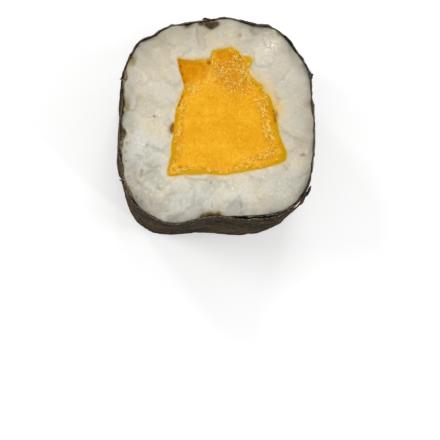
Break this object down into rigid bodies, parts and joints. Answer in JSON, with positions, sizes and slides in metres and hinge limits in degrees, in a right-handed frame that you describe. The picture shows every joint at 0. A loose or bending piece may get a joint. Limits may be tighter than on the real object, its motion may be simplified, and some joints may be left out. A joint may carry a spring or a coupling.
{
  "type": "mango maki roll",
  "caption": "Cut piece of maki sushi standing on end: nori rolled round cooked rice, with a bar of fresh mango through the middle.",
  "frame": {"origin": "middle of the cut end that the roll stands on, under the centre of its bounding box", "axes": "+Z along the roll towards the cut end that shows, +Y towards the narrow end of the mango's section, +X towards its wide right corner"},
  "size_m": [0.0267, 0.0276, 0.032],
  "materials": {
    "nori": "moist dried seaweed sheet, mottled dark green-brown, satin with fine glints",
    "rice": "cooked short-grain rice, warm white, moist and slightly translucent",
    "mango": "fresh cut ripe mango, golden yellow, wet and slightly translucent"
  },
  "bodies": {
    "root": {"nori": "nori", "rice": "rice", "mango": "mango"}
  },
  "joints": []
}
